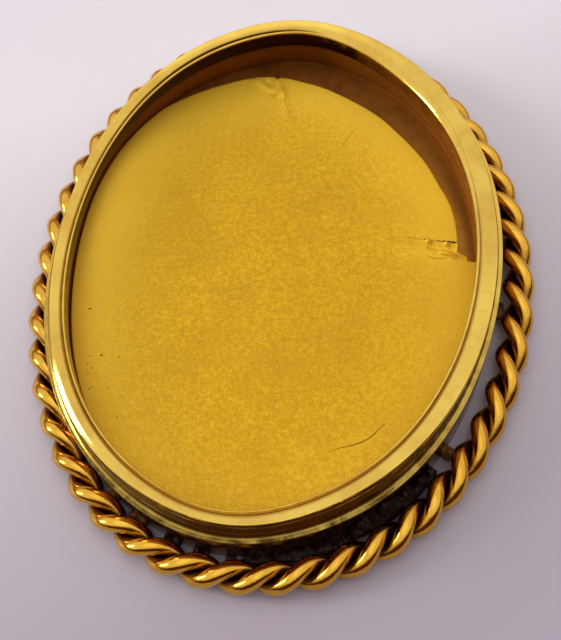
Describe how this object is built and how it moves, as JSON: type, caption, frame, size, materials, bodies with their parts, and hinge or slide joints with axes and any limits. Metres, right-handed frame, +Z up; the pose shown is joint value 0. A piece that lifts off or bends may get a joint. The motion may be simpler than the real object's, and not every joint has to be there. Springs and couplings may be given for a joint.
{
  "type": "photo locket brooch",
  "caption": "Oval gilt photo brooch lying on its back: raised bezel over an open picture recess with a brass backing sheet, twisted wire rope border, pin behind.",
  "frame": {"origin": "middle of the rope border's underside, on the surface that the brooch lies on", "axes": "+Y along the oval's long axis to the top of the portrait, +X to the right, +Z up out of the picture recess"},
  "size_m": [0.0394, 0.0508, 0.0058],
  "materials": {
    "bezel_gilt": "polished pale gilt with soft scratches and darker hollows",
    "case_gilt": "polished gilt, tarnished brown inside the recess",
    "plate_brass": "satin brass sheet, mottled, creased and scratched",
    "rope_gilt": "bright polished gilt wire with dark tarnish between the strands",
    "pin_metal": "plain drawn brass, lightly tarnished"
  },
  "bodies": {
    "root": {"bezel": "bezel_gilt", "case_body": "case_gilt", "backing_plate": "plate_brass", "rope_border": "rope_gilt", "pin_clasp": "pin_metal"}
  },
  "joints": []
}
